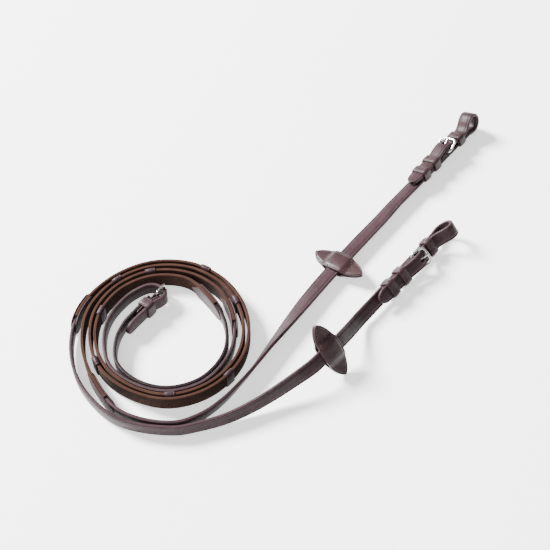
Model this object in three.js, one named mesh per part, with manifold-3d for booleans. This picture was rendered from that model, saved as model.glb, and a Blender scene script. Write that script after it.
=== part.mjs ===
// A pair of English web reins, joined by their centre buckle and wound together into a coil, with the two
// bit ends lying out to the side. Millimetres, +Z up. The coil stands on edge on the ground at -X, the bit
// ends point to +X, and the origin is the middle of the ground under the whole object.
import * as THREE from "three";
import { mergeVertices } from "three/addons/utils/BufferGeometryUtils.js";
import Module from "manifold-3d";

const wasm = await Module();
wasm.setup();

// ---- Driving dimensions ----
const GAP = 0.3; // clearance between pieces that touch
const LEATHER_WIDTH = 13;
const LEATHER_THICK = 3;
const WEB_WIDTH = 16;
const WEB_THICK = 2.8;
const EDGE = 0.6; // rounding of a strap's long edges
const STEP = 8; // length of one straight facet along a strap

const FACING_THICK = 1.2; // leather leaves that clamp a web end
const FACING_ON_LEATHER = 12; // length of a facing over the leather strap
const FACING_ON_WEB = 31; // length of a facing over the web
const FACING_WIDTH = 16;
const FACING_END_WIDTH = 12.6; // at the end that lies on the leather

const FINGER_STOP_LENGTH = 9;
const FINGER_STOP_THICK = 0.8;

const STOP_LEAF_LENGTH = 52; // martingale stop, across the rein
const STOP_LEAF_WIDTH = 21; // martingale stop, along the rein
const STOP_LEAF_THICK = 2;
const STOP_CHANNEL_HALF = 2.3; // half height of the strap channel through a martingale stop
const STOP_LOBE = 9; // length of each flat end of a leaf, where the two leaves meet
const STOP_TIP_HALF = 1.4; // half width of a leaf at its points
const STOP_POINTEDNESS = 0.62; // 0.5 is an ellipse, and more is more pointed
const STOP_CHANNEL_SIDE = 1; // room in the channel beside the strap, before the lobes close
const STOP_SHOULDER = 0.6; // height of a leaf's straight edge, as a share of its thickness
const STOP_FLAT = 0.8; // width of a leaf's flat top, as a share of its width
const STOP_ROWS = 20; // facets from one point of a leaf to the other

const WIRE_RADIUS = 1; // buckle wire
const WIRE_SIDES = 8;
const WIRE_CORNER_STEPS = 4; // facets around each of the frame's corners
const BUCKLE_HALF_WIDTH = 8.3; // middle of a side leg from the middle of the strap
const BUCKLE_LENGTH = 12; // back bar to front bar, along the strap
const BUCKLE_ROUND = 2.6; // radius of the frame's corners, at the middle of the wire
const BACK_BAR_HEIGHT = 4.2; // back bar above the middle of the strap it is stitched to
const TONGUE_RADIUS = 0.8;
const TONGUE_SIDES = 10;
const TONGUE_EYE_RADIUS = 2.1;
const TONGUE_WIDTH = 2.4;
const TONGUE_START = 1.6; // where the rod leaves the tongue's eye, from the back bar's axis
const SLOT_WIDTH = 3.4; // slots that let the tongue through the chape and the strap
const CHAPE_THICK = 1.8;
const CHAPE_WIDTH = 12.4;
const CHAPE_EYE_RADIUS = 2.3;
const EYE_SEGMENTS = 12; // facets of a half turn around the back bar
const CHAPE_SLOT_LENGTH = 8;
const CHAPE_SLOT_HEIGHT = 12;
const BAR_CLEARANCE = 0.3;

const KEEPER_LENGTH = 9;
const KEEPER_THICK = 1.3;
const KEEPER_EASE = 0.2; // play beside the strap, on each side

const COIL_CENTRE = [-154, 26];
const COIL_HEIGHT = 9.1; // middle of the straps above the ground, in the coil
const COIL_STEP = 30; // degrees between two of the radii below

// ---- The lay of the two reins ----
// radii: the coil's radius every 30 degrees from firstAngle, counted anticlockwise from +X.
// tail: [x, y, z, lean] of the free strap, from the coil to the bit end. Lean is the angle in degrees by
// which the strap's top edge leans away from the coil's centre.
// end: the place of the bit end's buckle on the strap, and the direction that the strap points there.
const LEFT = {
  name: "left",
  firstAngle: 120,
  radii: [
    32.3, 37, 45, 49.8, 54.8, 58.3, 58.8, 56.3, 54.5, 59, 58.9, 57.6, 56, 54.6, 55, 57.2, 62.4, 66.4, 70.3,
    71.6, 71.8, 71, 69.4, 67.6, 67, 65.8, 69, 80.5,
  ],
  tail: [
    [-198, -49, 8.2, 0],
    [-176, -57, 7.2, 4],
    [-154, -57.5, 7, 9],
    [-133, -54, 7, 14],
    [-111, -48.5, 7, 20],
    [-90, -42, 7, 29],
    [-62, -33.8, 7.1, 52],
    [-38, -27, 7.2, 70],
    [-15, -21, 7.2, 78],
    [8, -15.6, 7.2, 80],
    [32, -10.6, 7.2, 80],
    [56, -5.6, 7, 79],
    [80, -0.9, 6.9, 75],
    [99, 3.4, 7, 70],
  ],
  end: { x: 193.4, y: 21, z: 7, direction: 10.5, lean: 68 },
  faceUp: -1, // the face nearer the coil's centre is the one that turns up
  webStart: 352,
  webEnd: 917,
  fingerStops: [478, 601, 707, 807],
  martingaleStop: 182, // distance of the stop's middle from the bit end's buckle
};
const RIGHT = {
  name: "right",
  firstAngle: 90,
  radii: [
    48.3, 47, 47.6, 51.4, 53.4, 58.2, 62, 63.3, 64, 65.6, 65.3, 64.4, 62.6, 61, 58.9, 59.6, 61.3, 66.6, 70.8,
    74.8, 76.1, 76.2, 75.9, 74.2, 72.6, 73.8, 75.5, 80.3, 87.2,
  ],
  tail: [
    [-200, -53, 7.6, 0],
    [-180, -64, 7.4, -4],
    [-160, -72.3, 8, -8],
    [-140, -77.6, 9.6, -14],
    [-120, -81.2, 12.4, -20],
    [-98, -84.3, 17, -28],
    [-78, -86, 20.6, -41],
    [-62, -84, 21.3, -42],
    [-46, -81.8, 21, -42.5],
    [-30, -76.9, 15, -44],
  ],
  end: { x: 77, y: -54.6, z: 8.4, direction: 10.3, lean: -45 },
  faceUp: 1,
  webStart: 330,
  webEnd: 848,
  fingerStops: [421, 530, 645, 741],
  martingaleStop: 140.8,
};
const STACK_START = -76; // where the bit end's straight stretch begins, from its buckle
const STACK_RUN_IN = 14; // length of the tail that is already in line with that stretch
const LOOP_START = 24; // where that stretch ends and the bit loop begins
const LOOP_STEP = 3.2; // length of one straight facet around the loop
const HAIRPIN_STEP = 4; // the same at the centre buckle

// Shapes in a buckle's own plane: [along the strap from the front bar, above the strap's middle].
const BIT_LOOP = [
  [30, -1.2],
  [36, -1],
  [40.4, 2.4],
  [41.8, 8],
  [38.8, 13.2],
  [33, 14.6],
  [28, 11.6],
  [24, 7.4],
  [19.6, 4.8],
  [13, 4.4],
  [7, 4.5],
  [3, 5.4],
  [-2, 7.4],
  [-8, 8.9],
  [-14, 8.9],
  [-20, 7.6],
  [-26, 6],
  [-32, 5.8],
  [-42, 5.6],
  [-50, 5.6],
  [-58, 5.4],
  [-66, 5],
];
const CENTRE_HAIRPIN = [
  [-54, 6.8],
  [-46, 6],
  [-37, 5.9],
  [-29, 6.2],
  [-23, 6.5],
  [-18, 7],
  [-12, 9],
  [-7, 9.4],
  [-3.6, 6.6],
  [-2.9, 2],
  [-3.6, -3],
  [-7.4, -8.6],
  [-15.6, -12.9],
];
const CENTRE = { x: -123, y: 65, z: 9.5, direction: 13 };
const CENTRE_STRAP_END = -16.5; // end of the left rein's strap, from the front bar
const CENTRE_STRAP_STRAIGHT = -41;

// A buckle: the height of its front bar, the end of its chape, and the slot that its tongue goes through.
const BIT_BUCKLE = {
  front: 9.8,
  chapeEnd: -58,
  slot: [8.5, SLOT_WIDTH, 9],
  slotCentre: [-7.2, 0, 8],
  slotTilt: 17,
};
const CENTRE_BUCKLE = {
  front: 3,
  chapeEnd: -38,
  slot: [9, SLOT_WIDTH, 6],
  slotCentre: [-4, 0, 5.6],
  slotTilt: 0,
};
// Keepers: the place of their middle along the strap, and the height of the billet's middle inside them.
const BIT_KEEPERS = [
  { name: "bit_runner", at: 11, top: 4.8 },
  { name: "fixed_keeper", at: -31, top: 5.8 },
  { name: "tip_runner", at: -48, top: 5.6 },
];
const CENTRE_KEEPER = { at: -24, top: 6.6 };

// ---- Materials ----
const MATERIALS = {
  leather: { color: 0x4a3436, roughness: 0.5, metalness: 0 },
  web: { color: 0x4c3226, roughness: 0.9, metalness: 0 },
  steel: { color: 0xc9c7c2, roughness: 0.25, metalness: 1 },
};

function namedMesh(name, geometry, material) {
  const mesh = new THREE.Mesh(geometry, new THREE.MeshStandardMaterial(MATERIALS[material]));
  mesh.name = name;
  return mesh;
}

// ---- Closed skins ----
// A solid skinned over rings of equal length. Each ring runs anticlockwise about the way the rings follow
// each other. A looped skin joins its last ring to its first, and any other gets two flat ends.
function skin(rings, looped = false) {
  const size = rings[0].length;
  const positions = rings.flat().flatMap((p) => [p.x, p.y, p.z]);
  const index = [];
  const spans = looped ? rings.length : rings.length - 1;
  for (let i = 0; i < spans; i++) {
    const a = i * size;
    const b = ((i + 1) % rings.length) * size;
    for (let j = 0; j < size; j++) {
      const k = (j + 1) % size;
      index.push(a + j, a + k, b + k, a + j, b + k, b + j);
    }
  }
  if (!looped) {
    const last = (rings.length - 1) * size;
    for (let j = 1; j < size - 1; j++) {
      index.push(0, j + 1, j, last, last + j, last + j + 1);
    }
  }
  const geometry = new THREE.BufferGeometry();
  geometry.setAttribute("position", new THREE.Float32BufferAttribute(positions, 3));
  geometry.setIndex(index);
  geometry.computeVertexNormals();
  return geometry;
}

// A strap's section as [across, through] points, with its four long edges rounded off by a chamfer.
function strapSection(width, thick, middle = 0) {
  const w = width / 2;
  const t = thick / 2;
  const e = Math.min(EDGE, t / 2);
  const corners = [
    [w, -t + e],
    [w, t - e],
    [w - e, t],
    [-w + e, t],
    [-w, t - e],
    [-w, -t + e],
    [-w + e, -t],
    [w - e, -t],
  ];
  return corners.map(([a, b]) => [a, b + middle]);
}

// A station is a place on a strap: a point, the way along, and the way across the strap's width.
function ringAt(station, section) {
  const through = new THREE.Vector3().crossVectors(station.along, station.across);
  return section.map(([a, b]) =>
    station.point.clone().addScaledVector(station.across, a).addScaledVector(through, b),
  );
}

// taper: the share of the section's width at each share of the way along.
function sweep(stations, section, taper = () => 1) {
  const rings = stations.map((station, i) => {
    const share = taper(i / (stations.length - 1));
    return ringAt(station, section.map(([a, b]) => [a * share, b]));
  });
  return skin(rings);
}

// A sleeve around a strap: an outer and an inner section swept over the same stations.
function sleeve(stations, outer, inner) {
  const outside = stations.map((station) => ringAt(station, outer));
  const inside = stations.map((station) => ringAt(station, inner)).reverse();
  return skin([...outside, ...inside], true);
}

// ---- Routes ----
const radians = THREE.MathUtils.degToRad;

function coilPoints(rein) {
  return rein.radii.map((radius, i) => {
    const angle = radians(rein.firstAngle + i * COIL_STEP);
    const x = COIL_CENTRE[0] + radius * Math.cos(angle);
    const y = COIL_CENTRE[1] + radius * Math.sin(angle);
    return [x, y, COIL_HEIGHT, 0];
  });
}

// The frame of a buckle: x along the strap towards the front bar, z out of the face that the buckle is on.
function buckleFrame({ x, y, z, direction, lean }, faceUp) {
  const along = new THREE.Vector3(Math.cos(radians(direction)), Math.sin(radians(direction)), 0);
  const outward = new THREE.Vector3(along.y, -along.x, 0);
  const across = new THREE.Vector3(0, 0, Math.cos(radians(lean)));
  across.addScaledVector(outward, Math.sin(radians(lean)));
  const through = new THREE.Vector3().crossVectors(along, across).multiplyScalar(faceUp);
  const side = new THREE.Vector3().crossVectors(through, along);
  const matrix = new THREE.Matrix4().makeBasis(along, side, through).setPosition(x, y, z);
  return { matrix, across };
}

const centreFrame = buckleFrame({ ...CENTRE, lean: 0 }, 1);

function fromFrame(frame, [along, above]) {
  return new THREE.Vector3(along, 0, above).applyMatrix4(frame.matrix);
}

// The way across the strap keeps its lean about the way along.
function leaningStation(point, along, lean) {
  const outward = new THREE.Vector3(along.y, -along.x, 0).normalize();
  const up = new THREE.Vector3().crossVectors(outward, along);
  const across = up.multiplyScalar(Math.cos(radians(lean)));
  across.addScaledVector(outward, Math.sin(radians(lean)));
  return { point, along, across };
}

class Route {
  constructor(rein, leadIn) {
    const frame = buckleFrame(rein.end, rein.faceUp);
    const { z, lean } = rein.end;
    const join = [STACK_START - STACK_RUN_IN, STACK_START].map((u) => {
      const point = fromFrame(frame, [u, 0]);
      return [point.x, point.y, z, lean];
    });
    this.leads = leadIn.length;
    this.rein = rein;
    this.knots = [...leadIn, ...coilPoints(rein), ...rein.tail, ...join];
    const points = this.knots.map(([x, y, h]) => new THREE.Vector3(x, y, h));
    this.curve = new THREE.CatmullRomCurve3(points, false, "centripetal");
    this.curve.arcLengthDivisions = 4000;
    this.length = this.curve.getLength();
    this.lengths = this.curve.getLengths();
  }

  lengthAtParameter(t) {
    const place = t * (this.lengths.length - 1);
    const i = Math.min(Math.floor(place), this.lengths.length - 2);
    return THREE.MathUtils.lerp(this.lengths[i], this.lengths[i + 1], place - i);
  }

  lengthAtAngle(angle) {
    const knot = this.leads + (angle - this.rein.firstAngle) / COIL_STEP;
    return this.lengthAtParameter(knot / (this.knots.length - 1));
  }

  station(distance) {
    const share = THREE.MathUtils.clamp(distance / this.length, 0, 1);
    const t = this.curve.getUtoTmapping(share);
    const knot = t * (this.knots.length - 1);
    const i = Math.min(Math.floor(knot), this.knots.length - 2);
    const lean = THREE.MathUtils.lerp(this.knots[i][3], this.knots[i + 1][3], knot - i);
    return leaningStation(this.curve.getPoint(t), this.curve.getTangent(t), lean);
  }

  stations(from, to, step = STEP) {
    const count = Math.max(1, Math.round((to - from) / step));
    return Array.from({ length: count + 1 }, (_, i) => this.station(from + ((to - from) * i) / count));
  }
}

// Stations along a bent strap drawn in a buckle's own plane.
function planeStations(frame, points, step) {
  const flat = points.map((p) => fromFrame(frame, p));
  const curve = new THREE.CatmullRomCurve3(flat, false, "centripetal");
  const count = Math.round(curve.getLength() / step);
  return Array.from({ length: count + 1 }, (_, i) => {
    const u = i / count;
    return { point: curve.getPointAt(u), along: curve.getTangentAt(u), across: frame.across };
  });
}

// ---- Cuts ----
function toSolid(geometry) {
  const bare = geometry.clone();
  bare.deleteAttribute("normal");
  bare.deleteAttribute("uv");
  const merged = mergeVertices(bare, 1e-4);
  const vertProperties = new Float32Array(merged.attributes.position.array);
  const triVerts = new Uint32Array(merged.index.array);
  return new wasm.Manifold(new wasm.Mesh({ numProp: 3, vertProperties, triVerts }));
}

function toGeometry(solid) {
  const mesh = solid.getMesh();
  const geometry = new THREE.BufferGeometry();
  geometry.setAttribute("position", new THREE.BufferAttribute(mesh.vertProperties, 3));
  geometry.setIndex(new THREE.BufferAttribute(mesh.triVerts, 1));
  geometry.computeVertexNormals();
  return geometry;
}

function cutBox(geometry, size, centre, matrix = new THREE.Matrix4()) {
  const box = new THREE.BoxGeometry(...size).translate(...centre).applyMatrix4(matrix);
  return toGeometry(toSolid(geometry).subtract(toSolid(box)));
}

// ---- Pieces of one rein ----
function webAndFacings(rein, route) {
  const start = route.lengthAtAngle(rein.webStart);
  const end = route.lengthAtAngle(rein.webEnd);
  const group = new THREE.Group();
  const web = sweep(route.stations(start, end), strapSection(WEB_WIDTH, WEB_THICK));
  group.add(namedMesh(`${rein.name}_web_grip`, web, "web"));
  const spans = {
    centre_splice: [start - FACING_ON_LEATHER, start + FACING_ON_WEB],
    bit_splice: [end - FACING_ON_WEB, end + FACING_ON_LEATHER],
  };
  const middle = LEATHER_THICK / 2 + GAP + FACING_THICK / 2;
  const narrow = FACING_END_WIDTH / FACING_WIDTH;
  const leatherShare = FACING_ON_LEATHER / (FACING_ON_LEATHER + FACING_ON_WEB);
  for (const [splice, [from, to]] of Object.entries(spans)) {
    const taper = (share) => {
      const fromLeather = splice === "centre_splice" ? share : 1 - share;
      return THREE.MathUtils.mapLinear(Math.min(fromLeather, leatherShare), 0, leatherShare, narrow, 1);
    };
    for (const [face, sign] of [["inner", -1], ["outer", 1]]) {
      const section = strapSection(FACING_WIDTH, FACING_THICK, sign * middle);
      const facing = sweep(route.stations(from, to), section, taper);
      group.add(namedMesh(`${rein.name}_${splice}_${face}`, facing, "leather"));
    }
  }
  return group;
}

function fingerStops(rein, route) {
  const group = new THREE.Group();
  const inner = strapSection(WEB_WIDTH + 2 * GAP, WEB_THICK + 2 * GAP);
  const grow = 2 * (GAP + FINGER_STOP_THICK);
  const outer = strapSection(WEB_WIDTH + grow, WEB_THICK + grow);
  rein.fingerStops.forEach((angle, i) => {
    const middle = route.lengthAtAngle(angle);
    const half = FINGER_STOP_LENGTH / 2;
    const band = sleeve(route.stations(middle - half, middle + half, half), outer, inner);
    group.add(namedMesh(`${rein.name}_finger_stop_${i + 1}`, band, "leather"));
  });
  return group;
}

// One leaf of a martingale stop: a pointed oval that bows out over the strap and meets its twin at both lobes.
// X runs along the strap, Y across it and Z out of the leaf's face.
function stopLeaf() {
  const rings = [];
  const closeFrom = LEATHER_WIDTH / 2 + STOP_CHANNEL_SIDE;
  const closeTo = STOP_LEAF_LENGTH / 2 - STOP_LOBE;
  for (let i = 0; i <= STOP_ROWS; i++) {
    const share = (2 * i) / STOP_ROWS - 1;
    const y = (share * STOP_LEAF_LENGTH) / 2;
    const oval = (STOP_LEAF_WIDTH / 2) * Math.pow(1 - share * share, STOP_POINTEDNESS);
    const half = Math.max(STOP_TIP_HALF, oval);
    const closed = THREE.MathUtils.smoothstep(Math.abs(y), closeFrom, closeTo);
    const low = THREE.MathUtils.lerp(STOP_CHANNEL_HALF, GAP / 2, closed);
    const shoulder = low + STOP_LEAF_THICK * STOP_SHOULDER;
    const high = low + STOP_LEAF_THICK;
    const corners = [
      [-half, low],
      [-half, shoulder],
      [-half * STOP_FLAT, high],
      [half * STOP_FLAT, high],
      [half, shoulder],
      [half, low],
    ];
    rings.push(corners.map(([x, z]) => new THREE.Vector3(x, y, z)));
  }
  return skin(rings);
}

function martingaleStop(rein, route) {
  const distance = route.length + Math.abs(STACK_START) - rein.martingaleStop;
  const { point, along, across } = route.station(distance);
  const through = new THREE.Vector3().crossVectors(along, across);
  const group = new THREE.Group();
  group.applyMatrix4(new THREE.Matrix4().makeBasis(along, across, through).setPosition(point));
  const outer = namedMesh(`${rein.name}_martingale_stop_outer`, stopLeaf(), "leather");
  const inner = namedMesh(`${rein.name}_martingale_stop_inner`, stopLeaf(), "leather");
  inner.rotation.y = Math.PI;
  group.add(inner, outer);
  return group;
}

// ---- Buckles ----
function wirePath(front) {
  const half = BUCKLE_HALF_WIDTH;
  const round = BUCKLE_ROUND;
  const length = Math.hypot(BUCKLE_LENGTH, front - BACK_BAR_HEIGHT);
  const path = [];
  const corners = [
    [length - round, -half + round, -90],
    [length - round, half - round, 0],
    [round, half - round, 90],
    [round, -half + round, 180],
  ];
  for (const [x, y, from] of corners) {
    for (let i = 0; i <= WIRE_CORNER_STEPS; i++) {
      const angle = radians(from + (i * 90) / WIRE_CORNER_STEPS);
      path.push(new THREE.Vector3(x + round * Math.cos(angle), y + round * Math.sin(angle), 0));
    }
  }
  return path;
}

function wireLoop(path, radius) {
  const rings = path.map((point, i) => {
    const before = path[(i + path.length - 1) % path.length];
    const after = path[(i + 1) % path.length];
    const along = after.clone().sub(before).normalize();
    const up = new THREE.Vector3(0, 0, 1);
    const out = new THREE.Vector3().crossVectors(along, up);
    return Array.from({ length: WIRE_SIDES }, (_, j) => {
      const angle = (2 * Math.PI * j) / WIRE_SIDES;
      const ring = point.clone().addScaledVector(up, radius * Math.sin(angle));
      return ring.addScaledVector(out, -radius * Math.cos(angle));
    });
  });
  return skin(rings, true);
}

function frameTilt(front) {
  return Math.atan2(front - BACK_BAR_HEIGHT, BUCKLE_LENGTH);
}

function onBackBar(mesh, tilt) {
  mesh.position.set(-BUCKLE_LENGTH, 0, BACK_BAR_HEIGHT);
  mesh.rotation.y = -tilt;
  return mesh;
}

function buckleWire(name, front) {
  const mesh = namedMesh(name, wireLoop(wirePath(front), WIRE_RADIUS), "steel");
  return onBackBar(mesh, frameTilt(front));
}

// A disc with a hole, its axis along Y, for an eye that turns on the back bar.
function eye(radius, hole, width) {
  const shape = new THREE.Shape().absarc(0, 0, radius, 0, 2 * Math.PI);
  shape.holes.push(new THREE.Path().absarc(0, 0, hole, 0, 2 * Math.PI));
  const options = { depth: width, bevelEnabled: false, curveSegments: EYE_SEGMENTS };
  const geometry = new THREE.ExtrudeGeometry(shape, options);
  return geometry.translate(0, 0, -width / 2).rotateX(Math.PI / 2);
}

// The tongue turns on the back bar, goes up through the strap's hole and rests on the front bar.
function buckleTongue(name, front) {
  const length = Math.hypot(BUCKLE_LENGTH, front - BACK_BAR_HEIGHT);
  const lift = Math.atan2(WIRE_RADIUS + GAP + TONGUE_RADIUS, length);
  const rod = new THREE.CylinderGeometry(TONGUE_RADIUS, TONGUE_RADIUS, length, TONGUE_SIDES);
  rod.rotateZ(-Math.PI / 2).translate(length / 2 + TONGUE_START, 0, 0).rotateY(-lift);
  const eyeRing = eye(TONGUE_EYE_RADIUS, WIRE_RADIUS + BAR_CLEARANCE, TONGUE_WIDTH);
  const geometry = toGeometry(toSolid(eyeRing).add(toSolid(rod)));
  return onBackBar(namedMesh(name, geometry, "steel"), frameTilt(front));
}

// The chape: a leather tab stitched to the strap, with an eye around the back bar and a slot for the tongue.
function chape(name, end) {
  const shape = new THREE.Shape();
  const low = BACK_BAR_HEIGHT - CHAPE_EYE_RADIUS;
  const high = low + CHAPE_THICK;
  const meet = Math.asin((high - BACK_BAR_HEIGHT) / CHAPE_EYE_RADIUS);
  shape.moveTo(end, low);
  shape.absarc(-BUCKLE_LENGTH, BACK_BAR_HEIGHT, CHAPE_EYE_RADIUS, -Math.PI / 2, Math.PI - meet);
  shape.lineTo(end, high);
  const hole = new THREE.Path();
  hole.absarc(-BUCKLE_LENGTH, BACK_BAR_HEIGHT, WIRE_RADIUS + BAR_CLEARANCE, 0, 2 * Math.PI);
  shape.holes.push(hole);
  const options = { depth: CHAPE_WIDTH, bevelEnabled: false, curveSegments: EYE_SEGMENTS };
  const tab = new THREE.ExtrudeGeometry(shape, options);
  tab.translate(0, 0, -CHAPE_WIDTH / 2).rotateX(Math.PI / 2);
  const slot = [CHAPE_SLOT_LENGTH, SLOT_WIDTH, CHAPE_SLOT_HEIGHT];
  return namedMesh(name, cutBox(tab, slot, [-BUCKLE_LENGTH, 0, BACK_BAR_HEIGHT]), "leather");
}

// A keeper: a leather sleeve around everything between the strap's back and the top of the billet.
function keeper(name, { at, top }) {
  const low = -LEATHER_THICK / 2 - GAP;
  const high = top + LEATHER_THICK / 2 + GAP;
  const middle = (low + high) / 2;
  const width = LEATHER_WIDTH + 2 * (GAP + KEEPER_EASE);
  const inner = strapSection(width, high - low, middle);
  const grow = 2 * KEEPER_THICK;
  const outer = strapSection(width + grow, high - low + grow, middle);
  const stations = [-KEEPER_LENGTH / 2, KEEPER_LENGTH / 2].map((x) => ({
    point: new THREE.Vector3(at + x, 0, 0),
    along: new THREE.Vector3(1, 0, 0),
    across: new THREE.Vector3(0, 1, 0),
  }));
  return namedMesh(name, sleeve(stations, outer, inner), "leather");
}

function placed(frame, ...meshes) {
  const group = new THREE.Group();
  group.applyMatrix4(frame.matrix);
  group.add(...meshes);
  return group;
}

// ---- Bit end ----
function tongueSlot(geometry, frame, { slot, slotCentre, slotTilt }) {
  const place = new THREE.Matrix4().makeRotationY(-radians(slotTilt)).setPosition(...slotCentre);
  return cutBox(geometry, slot, [0, 0, 0], frame.matrix.clone().multiply(place));
}

function bitEnd(rein, route) {
  const frame = buckleFrame(rein.end, rein.faceUp);
  const name = rein.name;
  const from = route.lengthAtAngle(rein.webEnd) + GAP;
  const straight = planeStations(frame, [[STACK_START, 0], [STACK_START / 2, 0], [LOOP_START, 0]], STEP);
  const loop = planeStations(frame, [[LOOP_START, 0], ...BIT_LOOP], LOOP_STEP);
  const stations = [...route.stations(from, route.length - STEP), ...straight.slice(0, -1), ...loop];
  const strap = sweep(stations, strapSection(LEATHER_WIDTH, LEATHER_THICK));
  const group = new THREE.Group();
  group.add(namedMesh(`${name}_bit_strap`, tongueSlot(strap, frame, BIT_BUCKLE), "leather"));
  const keepers = BIT_KEEPERS.map((place) => keeper(`${name}_${place.name}`, place));
  group.add(
    placed(
      frame,
      chape(`${name}_bit_chape`, BIT_BUCKLE.chapeEnd),
      buckleWire(`${name}_bit_buckle_frame`, BIT_BUCKLE.front),
      buckleTongue(`${name}_bit_buckle_tongue`, BIT_BUCKLE.front),
      ...keepers,
    ),
  );
  return group;
}

// ---- Centre buckle ----
function lead(frame, points) {
  return points.map((p) => {
    const point = fromFrame(frame, p);
    return [point.x, point.y, CENTRE.z, 0];
  });
}

function centreStraps(leftRoute, rightRoute) {
  const section = strapSection(LEATHER_WIDTH, LEATHER_THICK);
  const left = sweep(leftRoute.stations(0, leftRoute.lengthAtAngle(LEFT.webStart) - GAP), section);
  const rightEnd = rightRoute.lengthAtAngle(RIGHT.webStart) - GAP;
  const right = sweep(rightRoute.stations(0, rightEnd, HAIRPIN_STEP), section);
  return [
    namedMesh("left_centre_strap", left, "leather"),
    namedMesh("right_centre_strap", tongueSlot(right, centreFrame, CENTRE_BUCKLE), "leather"),
  ];
}

function centreBuckle() {
  return placed(
    centreFrame,
    chape("centre_chape", CENTRE_BUCKLE.chapeEnd),
    buckleWire("centre_buckle_frame", CENTRE_BUCKLE.front),
    buckleTongue("centre_buckle_tongue", CENTRE_BUCKLE.front),
    keeper("centre_keeper", CENTRE_KEEPER),
  );
}

// ---- Assembly ----
const reins = new THREE.Group();
const leftRoute = new Route(LEFT, lead(centreFrame, [[CENTRE_STRAP_END, 0], [CENTRE_STRAP_STRAIGHT, 0]]));
const rightRoute = new Route(RIGHT, lead(centreFrame, CENTRE_HAIRPIN));
reins.add(...centreStraps(leftRoute, rightRoute), centreBuckle());
for (const [rein, route] of [[LEFT, leftRoute], [RIGHT, rightRoute]]) {
  reins.add(webAndFacings(rein, route), fingerStops(rein, route));
  reins.add(martingaleStop(rein, route), bitEnd(rein, route));
}

// The origin is the middle of the ground under the whole object.
const extent = new THREE.Box3().setFromObject(reins, true);
const middle = extent.getCenter(new THREE.Vector3());
reins.position.set(-middle.x, -middle.y, -extent.min.z);

export default reins;
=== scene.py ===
"""The looks of a pair of English web reins: leather straps, ribbed web grips, stitched facings, finger stops,
martingale stops and buckled bit ends, coiled and standing on edge. Metres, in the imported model's frame."""
import math

import bpy
import numpy as np
from mathutils import Matrix, Vector


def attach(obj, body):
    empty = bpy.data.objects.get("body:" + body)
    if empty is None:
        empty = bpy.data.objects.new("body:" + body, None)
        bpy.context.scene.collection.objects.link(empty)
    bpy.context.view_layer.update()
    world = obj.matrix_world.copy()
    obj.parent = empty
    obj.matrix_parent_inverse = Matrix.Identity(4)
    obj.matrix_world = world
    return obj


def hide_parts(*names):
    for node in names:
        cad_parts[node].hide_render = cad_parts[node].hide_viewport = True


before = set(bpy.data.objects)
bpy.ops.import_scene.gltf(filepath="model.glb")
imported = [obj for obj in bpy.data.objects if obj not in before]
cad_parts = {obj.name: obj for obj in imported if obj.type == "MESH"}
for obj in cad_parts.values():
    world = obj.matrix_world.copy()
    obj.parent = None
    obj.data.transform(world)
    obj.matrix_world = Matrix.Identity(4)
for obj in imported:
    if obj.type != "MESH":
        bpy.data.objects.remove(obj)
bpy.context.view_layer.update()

# ---- Driving dimensions ----
ORIGIN = np.array([0.0000245, 0.0012554, 0.0])  # the reins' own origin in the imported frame

LEATHER_WIDTH = 0.013
LEATHER_THICK = 0.003
WEB_WIDTH = 0.016
WEB_THICK = 0.0028
RIB_PITCH = 0.0013
RIB_HEIGHT = 0.00016
WARP_PITCH = 0.0009
STRAP_STEP = 0.0015  # between two rings of a leather strap
HAIRPIN_STEP = 0.001  # the same on the strap that turns back through the centre buckle
LOOP_STEP = 0.0008  # and around the bit
CREASE_INSET = 0.0017  # pressed line along a strap's edge
CREASE_DEPTH = 0.00022
BEVEL = 0.0008  # rounding of a leather edge
THIN_BEVEL = 0.0005  # the same on facings, chapes, keepers and finger stops
BAND_CREASE_INSET = 0.0013  # pressed line on keepers and finger stops
BAND_CREASE_DEPTH = 0.00018
BAND_STEP = 0.0012
BILLET_POINT = 0.009  # length of a strap's rounded end

FACING_THICK = 0.0012
FACING_ON_LEATHER = 0.012
FACING_ON_WEB = 0.031
FACING_WIDTH = 0.0164
FACING_END_WIDTH = 0.0128  # at the end that lies on the leather
FACING_POINT = 0.009
FACING_BLUNT = 0.005  # length of the rounded end
FACING_SKIVE = 0.006  # both ends thin down over this length
FACING_STEP = 0.0006
FACING_SEAM_INSET = 0.0016
FACING_LIFT = 0.00005  # off the strap

FINGER_STOP_LENGTH = 0.009
FINGER_STOP_THICK = 0.00085
FINGER_STOP_CROWN = 0.0001
FINGER_STOP_ROUND = 0.0013  # corner radius of the band
FINGER_STOP_SIDE = 0.0001  # off the web's edges
FINGER_STOP_FACE = 0.00015  # off the web's faces
FINGER_STOP_SEAM_END = 0.0022

STOP_LENGTH = 0.052
STOP_WIDTH = 0.021
STOP_THICK = 0.002
STOP_POINTEDNESS = 0.62
STOP_CHANNEL = 0.0021
STOP_CROWN = 0.0009
STOP_GROOVE_DEPTH = 0.0003
STOP_LOBE_START = 0.0095
STOP_LOBE_APEX = 0.0145
STOP_DOME_START = 0.003  # across the strap, where the dome starts to fall
STOP_SHOULDER_START = 0.0072  # the leaves start to close here
STOP_SHOULDER_END = 0.0135  # and lie on each other from here
STOP_LOBE_CROWN = 0.0003
STOP_EDGE = 0.0007  # rounding of a leaf's edge
STOP_RIM = 0.003  # narrower than this, a leaf's pressed line fades out
STOP_GROOVE_INSET = 0.0009
STOP_GROOVE_HALF = 0.0003
STOP_TIP_HALF = 0.0012
STOP_SEAM_INSET = 0.0024

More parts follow.
